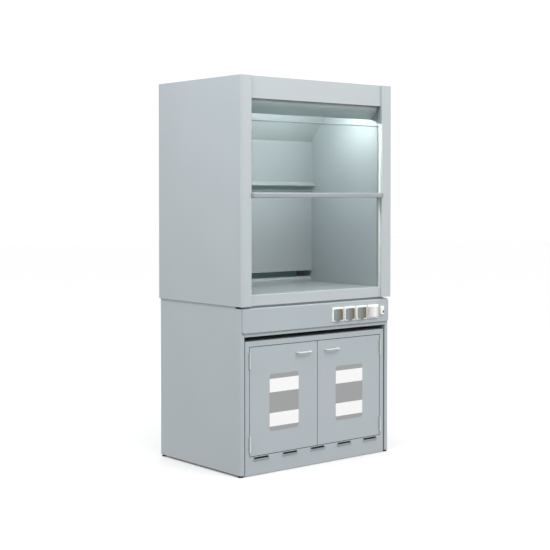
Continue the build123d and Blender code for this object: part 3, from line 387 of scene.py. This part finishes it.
def pane_glass(name, tint, density, rim, rim_density):
    """Clear pane that holds back a little light, more of it along its top rim, with faint wiping marks."""
    finish = Finish(name)
    held = finish.span(finish.along("Z"), rim - 0.0005, rim, first=density, last=rim_density)
    finish.links.new(held, finish.shader.inputs["Alpha"])
    finish.paint(finish.tone(tint, scale=3.0, amount=0.03))
    finish.rough(scale=5.0, low=0.03, high=0.08)
    finish.number("IOR", 1.5)
    finish.material.surface_render_method = "BLENDED"
    return finish.material


def rocker_painted_shading(name, base, left, right):
    """Moulded white plastic with painted shade towards both sides and a painted highlight across the middle,
    as on a curved rocker.
    """
    finish = Finish(name)
    # Painted shade at the sides, painted highlight in the middle.
    factors = ((0.0, 0.60), (0.35, 0.84), (0.58, 1.0), (0.78, 0.84), (1.0, 0.56))
    finish.paint(finish.ramp(finish.span(finish.along("X"), left, right), shades(base, factors)))
    finish.rough(scale=60.0, low=0.24, high=0.32)
    finish.grain(900.0, strength=0.05)
    return finish.material


def smoked_plastic_reflection(name, left_edge, right_edge, left, right):
    """Smoked see-through plastic, with a cool painted reflection towards its left edge and a warmer brown
    towards its right.
    """
    finish = Finish(name)
    across = finish.span(finish.along("X"), left_edge, right_edge)
    # Painted reflection towards the left edge, warmer brown towards the right.
    finish.paint(finish.ramp(across, ((0.15, left), (0.85, right))))
    finish.rough(scale=40.0, low=0.14, high=0.20)
    finish.number("Alpha", 0.86)
    finish.number("IOR", 1.49)
    finish.material.surface_render_method = "BLENDED"
    return finish.material


def lamp_white(name, glow):
    """Ribbed diffusing lens, lit from inside."""
    finish = Finish(name)
    ribs = finish.nodes.new("ShaderNodeTexWave")
    ribs.bands_direction = "X"
    ribs.inputs["Scale"].default_value = 40.0
    finish.links.new(finish.coords, ribs.inputs["Vector"])
    finish.raise_by(ribs.outputs["Fac"], strength=0.3, distance=0.0006)
    finish.paint(finish.tone((0.90, 0.93, 0.93), scale=12.0, amount=0.01))
    finish.number("Emission Color", (0.93, 1.0, 1.0, 1))
    finish.number("Emission Strength", glow)
    return finish.material


def black_rubber(name, base):
    """Matt black rubber with a little dust on it."""
    finish = Finish(name)
    finish.paint(finish.tone(base, scale=60.0, amount=0.35))
    finish.rough(scale=90.0, low=0.62, high=0.82)
    finish.grain(1100.0, strength=0.2)
    return finish.material


def banded_plate(name, low, high, grey, white):
    """Bare printed plate: fields of grey and of white in bands up its height."""
    finish = Finish(name)
    bands = ((0.0, grey), (0.072, white), (0.309, grey), (0.675, white), (0.912, grey))
    finish.paint(finish.ramp(finish.span(finish.along("Z"), low, high), bands, stepped=True))
    finish.rough(scale=40.0, low=0.30, high=0.38)
    finish.grain(800.0, strength=0.04)
    return finish.material


# Pieces
def coat(material, *names):
    """Give carried-over nodes their material."""
    for name in names:
        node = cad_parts[name]
        if node.material_slots:
            for slot in node.material_slots:
                slot.material = material
        else:
            node.data.materials.append(material)


def settle(mesh, name, body, materials, smooth=True):
    """Turn a bmesh into a finished piece that rides on a body."""
    bmesh.ops.recalc_face_normals(mesh, faces=mesh.faces)
    data = bpy.data.meshes.new(name)
    mesh.to_mesh(data)
    mesh.free()
    for material in materials:
        data.materials.append(material)
    if smooth:
        data.shade_smooth()
        data.set_sharp_from_angle(angle=math.radians(32))
    piece = bpy.data.objects.new(name, data)
    bpy.context.scene.collection.objects.link(piece)
    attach(piece, body)
    return piece


def bevelled_block(mesh, low, high, width):
    """Add a block between two corners, with all its edges bevelled, to the mesh."""
    made = bmesh.ops.create_cube(mesh, size=1.0)["verts"]
    bmesh.ops.scale(mesh, vec=Vector(high) - Vector(low), verts=made)
    bmesh.ops.translate(mesh, vec=(Vector(low) + Vector(high)) / 2, verts=made)
    edges = list({edge for vert in made for edge in vert.link_edges})
    bmesh.ops.bevel(mesh, geom=edges, offset=width, offset_type="OFFSET", segments=1, profile=0.5,
                    affect="EDGES", material=-1, clamp_overlap=True)


def screw_heads(name, material, places, facing, settings):
    """Domed screw heads with a round recess, all in one piece."""
    radius = settings.head / 2
    top_radius, height = radius * 0.72, radius * 0.5
    crown_width, crown_height = radius * 0.30, radius * 0.10
    recess_rim, recess_depth = radius * 0.10, radius * 0.28
    facing = Vector(facing)
    turn = Vector((0, 0, 1)).rotation_difference(facing).to_matrix().to_4x4()
    mesh = bmesh.new()
    for place in places:
        head = bmesh.ops.create_cone(mesh, cap_ends=True, segments=settings.sides, radius1=radius,
                                     radius2=top_radius, depth=height)["verts"]
        top = max((f for v in head for f in v.link_faces), key=lambda f: f.calc_center_median().z)
        crown = bmesh.ops.inset_individual(mesh, faces=[top], thickness=crown_width, depth=crown_height)
        recess = bmesh.ops.inset_individual(mesh, faces=[top], thickness=recess_rim, depth=-recess_depth)
        made = list({v for f in crown["faces"] + recess["faces"] + [top] for v in f.verts} | set(head))
        seat = Matrix.Translation(Vector(place) + facing * height / 2)
        bmesh.ops.transform(mesh, matrix=seat @ turn, verts=made)
    settle(mesh, name, "hood", [material])


# Operators
class HOOD_OT_casing(Operator):
    """Coat the outer sides, roof, collar, fascia, sill, rear panel and the base"""
    bl_idname = "hood.casing"
    bl_label = "Casing"

    def execute(self, context):
        settings = context.scene.hood_casing
        powder = (settings.roughness, settings.grain)
        coat(powder_coat("casing_coat", settings.coat, *powder), "roof_panel", "exhaust_collar",
             "base_side_left", "base_side_right", "base_front_rail", "base_back_panel")
        # The fascia takes the lighter front coat: painted light from the front.
        coat(powder_coat("front_lit_coat", settings.front, *powder), "fascia")
        # Painted shade along the sill's top edge, darker than the front coat.
        shaded = [c * settings.sill_painted_shade for c in settings.front]
        top_edge = beyond("Z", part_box("front_sill")[1][2] - settings.sill_edge)
        coat(two_tone_coat("sill_coat_painted_shade", settings.front, shaded, *powder, top_edge), "front_sill")
        # Posts: lighter front coat on their faces as painted light, darker coat on returns and sides, painted
        # shade on the left post's rolled edge.
        (inner, _, _), (outer, _, _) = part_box("outer_side_right")
        fold, side = inner + 0.0005, outer - 0.001
        faces = post_light_and_shade_share(fold, side, settings.roll)
        coat(two_tone_coat("side_coat_light_and_shade", settings.front, settings.coat, *powder, faces),
             "outer_side_left", "outer_side_right")
        (_, inside, _), (_, outside, _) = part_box("rear_panel")
        outer_face = beyond("Y", (inside + outside) / 2)
        coat(two_tone_coat("rear_coat", settings.plenum, settings.coat, *powder, outer_face), "rear_panel")
        return {"FINISHED"}


class HOOD_OT_chamber(Operator):
    """Coat the chamber's walls, ceiling, baffles and valance, and light the lamp's lens"""
    bl_idname = "hood.chamber"
    bl_label = "Chamber"

    def execute(self, context):
        settings = context.scene.hood_casing
        powder = (settings.roughness, settings.grain)
        # The chamber's sheets, worktop and walls get darker colours than the casing: painted shade inside the
        # chamber.
        coat(powder_coat("chamber_shaded_coat", settings.chamber, *powder),
             "liner_ceiling", "baffle_upper", "baffle_middle", "baffle_lower", "lamp_housing")
        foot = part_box("air_valance")[0][2]
        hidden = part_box("fascia")[0][2] + 0.008
        # Painted light under the fascia, fading to painted shade at the valance's foot.
        factors = ((0.0, 0.95), (0.25, 1.10), (0.42, 1.25), (0.58, 1.33),
                   (0.66, 1.75), (0.75, 2.60), (1.0, 3.0))
        coat(painted_light_shade_coat("valance_painted_light_shade", settings.valance, foot, hidden, factors, *powder), "air_valance")
        coat(laminate("wall_laminate", settings.wall), "liner_left", "liner_right")
        coat(powder_coat("worktop_coat", settings.chamber, roughness=0.38, grain=900.0), "worktop")
        coat(lamp_white("lamp_lens_white", glow=2.2), "lamp_lens")
        return {"FINISHED"}


class HOOD_OT_sash(Operator):
    """Build the panes with their ground edges, and finish the handle bar and the guides"""
    bl_idname = "hood.sash"
    bl_label = "Sash"

    def execute(self, context):
        settings = context.scene.hood_sash
        edge = moulded("pane_edge", settings.edge, roughness=0.30)
        for node, body in (("sash_pane_front", "sash"), ("sash_pane_rear", "rear_sash")):
            low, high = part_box(node)
            glass = pane_glass(node + "_clear", settings.glass, settings.density, high[2] - settings.rim,
                               settings.rim_density)
            mesh = bmesh.new()
            bevelled_block(mesh, low, high, settings.bevel)
            for face in mesh.faces:
                face.material_index = 0 if abs(face.normal.y) > 0.9 else 1
            pane = settle(mesh, node + "_glass", body, [glass, edge], smooth=False)
            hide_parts(node)
        coat(powder_coat("bar_coat", settings.bar, roughness=0.36, grain=700.0), "sash_handle")
        coat(moulded("cap_grey", settings.cap, roughness=0.40), "handle_cap_left", "handle_cap_right")
        coat(moulded("guide_white", settings.guide, roughness=0.28, grain=500.0),
             "sash_guide_left", "sash_guide_right")
        return {"FINISHED"}


class HOOD_OT_controls(Operator):
    """Finish the control panel with its sockets, switch and starter"""
    bl_idname = "hood.controls"
    bl_label = "Controls"

    def execute(self, context):
        casing, settings = context.scene.hood_casing, context.scene.hood_fittings
        paint = [c * 0.99 for c in casing.coat]
        coat(powder_coat("panel_coat", paint, roughness=0.40, grain=casing.grain), "control_panel")
        coat(moulded("fitting_white", settings.white),
             "socket_body_1", "socket_body_2", "socket_body_3", "switch_frame", "starter_body")
        (left, _, _), (right, _, _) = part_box("switch_rocker")
        coat(rocker_painted_shading("rocker_white", settings.rocker, left, right), "switch_rocker")
        coat(moulded("starter_green", settings.green, roughness=0.24), "starter_button")
        for i in (1, 2, 3):
            (left, _, _), (right, _, _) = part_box(f"socket_lid_{i}")
            coat(smoked_plastic_reflection(f"lid_smoke_reflection_{i}", left, right, settings.smoke_left_reflection, settings.smoke_right),
                 f"socket_lid_{i}")
        return {"FINISHED"}


class HOOD_OT_cabinet(Operator):
    """Coat the cabinet and its doors, and finish the pulls, hinges and plates"""
    bl_idname = "hood.cabinet"
    bl_label = "Cabinet"

    def execute(self, context):
        casing, settings = context.scene.hood_casing, context.scene.hood_fittings
        coat(powder_coat("cabinet_coat", casing.coat, casing.roughness, casing.grain),
             "cabinet_carcass", "cabinet_front")
        paint = [c * 1.01 for c in casing.coat]
        coat(powder_coat("door_coat", paint, roughness=0.42, grain=casing.grain), "door_left", "door_right")
        coat(powder_coat("pull_coat", settings.pull, roughness=0.30, grain=1200.0),
             "door_pull_left", "door_pull_right")
        steel = brushed_metal("hinge_steel", settings.hinge, along=(60.0, 60.0, 1.0), roughness=0.30)
        coat(steel, *[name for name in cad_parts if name.startswith("hinge_")])
        (_, _, low), (_, _, high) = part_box("info_plate_left")
        coat(banded_plate("plate_bands", low, high, settings.plate_grey, settings.plate_white),
             "info_plate_left", "info_plate_right")
        return {"FINISHED"}


class HOOD_OT_strips(Operator):
    """Add the door gaskets, the bumpers beside the cabinet and the baffle behind its vents, in black that
    also paints the shade in those gaps
    """
    bl_idname = "hood.strips"
    bl_label = "Strips"

    def execute(self, context):
        settings = context.scene.hood_strips
        rubber = black_rubber("gasket_black_gap_shade", settings.rubber)
        self.gaskets(rubber, settings)
        self.edge_gasket(rubber, settings)
        self.bumpers(rubber, settings)
        self.vent_shade_baffle(rubber, settings)
        return {"FINISHED"}

    def gaskets(self, rubber, settings):
        """Black strips in the gap round the doors, clear of the hinges: gaskets that also paint the shade in
        the gap.
        """
        (_, front, low), (opening, _, high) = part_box("door_right")
        opening += settings.gap
        floor, head = low - settings.gap, high + settings.gap
        near = front + settings.recess
        far = near + settings.depth
        thick = settings.thick
        stops = [floor]
        for level in ("low", "high"):
            (_, _, leaf_low), (_, _, leaf_high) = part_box(f"hinge_frame_leaf_{level}_right")
            stops += [leaf_low - settings.hinge_gap, leaf_high + settings.hinge_gap]
        stops.append(head)
        mesh = bmesh.new()
        for z0, z1 in zip(stops[::2], stops[1::2]):
            for x0, x1 in ((-opening, thick - opening), (opening - thick, opening)):
                bevelled_block(mesh, (x0, near, z0), (x1, far, z1), settings.bevel)
        for z0, z1 in ((floor, floor + thick), (head - thick, head)):
            bevelled_block(mesh, (thick - opening, near, z0), (opening - thick, far, z1), settings.bevel)
        settle(mesh, "door_gasket_gap_shade", "hood", [rubber])

    def edge_gasket(self, rubber, settings):
        """A black strip along the left door's free edge: a gasket that also paints the shade in the gap
        between the doors.
        """
        (_, front, low), (edge, _, high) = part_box("door_left")
        near = front + settings.recess
        foot, head = low + 0.002, high - 0.002
        mesh = bmesh.new()
        bevelled_block(mesh, (edge, near, foot), (edge + settings.edge_thick, near + settings.depth, head),
                       settings.bevel)
        settle(mesh, "door_edge_gasket_gap_shade", "door_left_body", [rubber])

    def bumpers(self, rubber, settings):
        """Black strips between the cabinet and the base's sides, on both of them: bumpers that also paint the
        shade in those gaps.
        """
        (_, _, low), (outer, _, high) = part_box("cabinet_front")
        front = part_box("door_left")[0][1]
        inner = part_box("base_side_right")[0][0]
        near, far = front + 0.003, front + 0.022
        foot, head = low + 0.012, high - 0.004
        mesh = bmesh.new()
        for a, b in ((outer, outer + settings.bumper), (inner - settings.bumper, inner)):
            for x0, x1 in ((a, b), (-b, -a)):
                bevelled_block(mesh, (x0, near, foot), (x1, far, head), settings.bevel)
        settle(mesh, "side_bumpers_gap_shade", "hood", [rubber])

    def vent_shade_baffle(self, rubber, settings):
        """A black air baffle behind the vents, which also paints the shade inside them."""
        _, front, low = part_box("door_left")[0]
        near, head = front + settings.baffle_back, low - settings.baffle_drop
        far, foot = near + settings.baffle_thick, head - settings.baffle_high
        half = settings.baffle_half
        mesh = bmesh.new()
        bevelled_block(mesh, (-half, near, foot), (half, far, head), settings.baffle_thick / 5)
        settle(mesh, "vent_shade_baffle", "hood", [rubber])


class HOOD_OT_feet(Operator):
    """Finish the levelling feet"""
    bl_idname = "hood.feet"
    bl_label = "Feet"

    def execute(self, context):
        rubber = black_rubber("foot_black", context.scene.hood_strips.rubber)
        coat(rubber, *[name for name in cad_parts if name.startswith("foot_")])
        return {"FINISHED"}


class HOOD_OT_screws(Operator):
    """Put the screws along the rear panel and round the collar's ring"""
    bl_idname = "hood.screws"
    bl_label = "Screws"

    def execute(self, context):
        settings = context.scene.hood_screws
        steel = brushed_metal("screw_steel", settings.steel, along=(30.0, 30.0, 30.0), roughness=0.34)
        screw_heads("rear_screws", steel, self.rear_places(settings), (0, 1, 0), settings)
        screw_heads("collar_screws", steel, self.ring_places(settings), (0, 0, 1), settings)
        return {"FINISHED"}

    def rear_places(self, settings):
        """Evenly up both sides of the rear panel, on the sides' flanges."""
        (_, _, low), (edge, _, high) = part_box("rear_panel")
        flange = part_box("outer_side_left")[1][1]
        away = edge - settings.rear_inset
        first = low + settings.rear_end
        step = (high - low - 2 * settings.rear_end) / (settings.rear_count - 1)
        return [(x, flange, first + i * step) for x in (-away, away) for i in range(settings.rear_count)]

    def ring_places(self, settings):
        """Evenly round the collar's ring, half a step on from the X axis."""
        low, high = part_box("exhaust_collar")
        x, y = (low[0] + high[0]) / 2, (low[1] + high[1]) / 2
        radius = (high[0] - low[0]) / 2 - settings.ring_inset
        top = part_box("roof_panel")[1][2] + settings.ring_thick
        angles = [math.tau * (i + 0.5) / settings.ring_count for i in range(settings.ring_count)]
        return [(x + radius * math.cos(angle), y + radius * math.sin(angle), top) for angle in angles]


# Stage
def area_light(name, power, size, place, aim):
    """A large soft light aimed at a point."""
    data = bpy.data.lights.new(name, "AREA")
    data.shape = "RECTANGLE"
    data.size, data.size_y = size
    data.energy = power
    light = bpy.data.objects.new(name, data)
    light.location = place
    light.rotation_euler = (Vector(aim) - Vector(place)).to_track_quat("-Z", "Y").to_euler()
    light.visible_camera = False
    bpy.context.scene.collection.objects.link(light)


def lamp_glow(settings):
    """The chamber lamp's light: a row of soft round lights just under its lens."""
    low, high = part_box("lamp_lens")
    reach = (high[0] - low[0]) * settings.lamp_reach
    middle, height = (low[1] + high[1]) / 2, low[2] - settings.lamp_drop
    count = settings.lamp_count
    for i in range(count):
        data = bpy.data.lights.new(f"lamp_{i + 1}", "POINT")
        data.energy = settings.lamp / count
        data.shadow_soft_size = settings.lamp_drop * 0.7
        data.color = (0.96, 1.0, 0.97)
        light = bpy.data.objects.new(data.name, data)
        light.location = (reach * ((i + 0.5) / count - 0.5), middle, height)
        light.visible_camera = False
        light.visible_glossy = False
        bpy.context.scene.collection.objects.link(light)


def studio_sky(name, above, level, below):
    """Plain white light all round: strongest overhead, weaker from the ground."""
    world = bpy.data.worlds.new(name)
    world.use_nodes = True
    nodes, links = world.node_tree.nodes, world.node_tree.links
    axes = nodes.new("ShaderNodeSeparateXYZ")
    height = nodes.new("ShaderNodeMapRange")
    height.inputs["From Min"].default_value = -1.0
    ramp = nodes.new("ShaderNodeValToRGB")
    light_by_height = ((0.0, below), (0.45, below * 1.15), (0.48, level), (1.0, above))
    set_stops(ramp, [(place, (light, light, light)) for place, light in light_by_height])
    links.new(nodes.new("ShaderNodeTexCoord").outputs["Generated"], axes.inputs["Vector"])
    links.new(axes.outputs["Z"], height.inputs["Value"])
    links.new(height.outputs["Result"], ramp.inputs["Fac"])
    links.new(ramp.outputs["Color"], nodes["Background"].inputs["Color"])
    return world


class HOOD_OT_stage(Operator):
    """Lay the floor, set the lights and place the camera"""
    bl_idname = "hood.stage"
    bl_label = "Stage"

    def execute(self, context):
        settings = context.scene.hood_stage
        self.floor(context, settings)
        context.scene.world = studio_sky("studio", settings.above, settings.level, settings.below)
        area_light("key", settings.key, size=(4.0, 2.4), place=(0.9, -4.6, 4.9), aim=(0.1, -0.4, 1.6))
        area_light("side_light", settings.side, size=(1.6, 1.6), place=(-2.5, -0.9, 4.0),
                   aim=(-0.6, -0.1, 1.4))
        lamp_glow(settings)
        self.camera(context, settings)
        context.scene.view_settings.view_transform = "Standard"
        return {"FINISHED"}

    def floor(self, context, settings):
        """A wide pale floor."""
        mesh = bmesh.new()
        bmesh.ops.create_grid(mesh, x_segments=2, y_segments=2, size=30.0)
        data = bpy.data.meshes.new("floor")
        mesh.to_mesh(data)
        mesh.free()
        pale = moulded("floor_white", settings.floor, roughness=0.7, grain=200.0, strength=0.01)
        data.materials.append(pale)
        floor = bpy.data.objects.new("floor", data)
        context.scene.collection.objects.link(floor)
        floor.visible_diffuse = False

    def camera(self, context, settings):
        """A camera in front on the left, at eye level."""
        camera = bpy.data.cameras.new("camera")
        camera.lens = settings.lens
        camera.sensor_width = 36.0
        camera.sensor_fit = "HORIZONTAL"
        camera.shift_y = -0.0854
        camera.clip_end = 200.0
        holder = bpy.data.objects.new("camera", camera)
        holder.location = (-4.87134, -5.84204, 1.61191)
        holder.rotation_euler = (math.radians(88.5), 0.0, math.radians(-39.74))
        context.scene.collection.objects.link(holder)
        context.scene.camera = holder


OPERATORS = (HOOD_OT_casing, HOOD_OT_chamber, HOOD_OT_sash, HOOD_OT_controls, HOOD_OT_cabinet, HOOD_OT_strips,
             HOOD_OT_feet, HOOD_OT_screws, HOOD_OT_stage)

GROUPS = (("hood_casing", "Casing", CasingSettings), ("hood_sash", "Sash", SashSettings),
          ("hood_fittings", "Fittings", FittingSettings), ("hood_strips", "Strips", StripSettings),
          ("hood_screws", "Screws", ScrewSettings), ("hood_stage", "Stage", StageSettings))


class HOOD_PT_sidebar(Panel):
    """Sizes and colours of the fume hood's finishes"""
    bl_idname = "HOOD_PT_sidebar"
    bl_label = "Fume Hood"
    bl_space_type = "VIEW_3D"
    bl_region_type = "UI"
    bl_category = "Fume Hood"

    def draw(self, context):
        for name, title, group in GROUPS:
            box = self.layout.box()
            box.label(text=title)
            for setting in group.__annotations__:
                box.prop(getattr(context.scene, name), setting)
        for operator in OPERATORS:
            self.layout.operator(operator.bl_idname)


def register():
    for name, _, group in GROUPS:
        bpy.utils.register_class(group)
        setattr(bpy.types.Scene, name, PointerProperty(type=group))
    for operator in OPERATORS:
        bpy.utils.register_class(operator)
    bpy.utils.register_class(HOOD_PT_sidebar)


def unregister():
    bpy.utils.unregister_class(HOOD_PT_sidebar)
    for operator in reversed(OPERATORS):
        bpy.utils.unregister_class(operator)
    for name, _, group in reversed(GROUPS):
        delattr(bpy.types.Scene, name)
        bpy.utils.unregister_class(group)


def main():
    register()
    bpy.ops.hood.casing()
    bpy.ops.hood.chamber()
    bpy.ops.hood.sash()
    bpy.ops.hood.controls()
    bpy.ops.hood.cabinet()
    bpy.ops.hood.strips()
    bpy.ops.hood.feet()
    bpy.ops.hood.screws()
    bpy.ops.hood.stage()


if __name__ == "__main__":
    main()
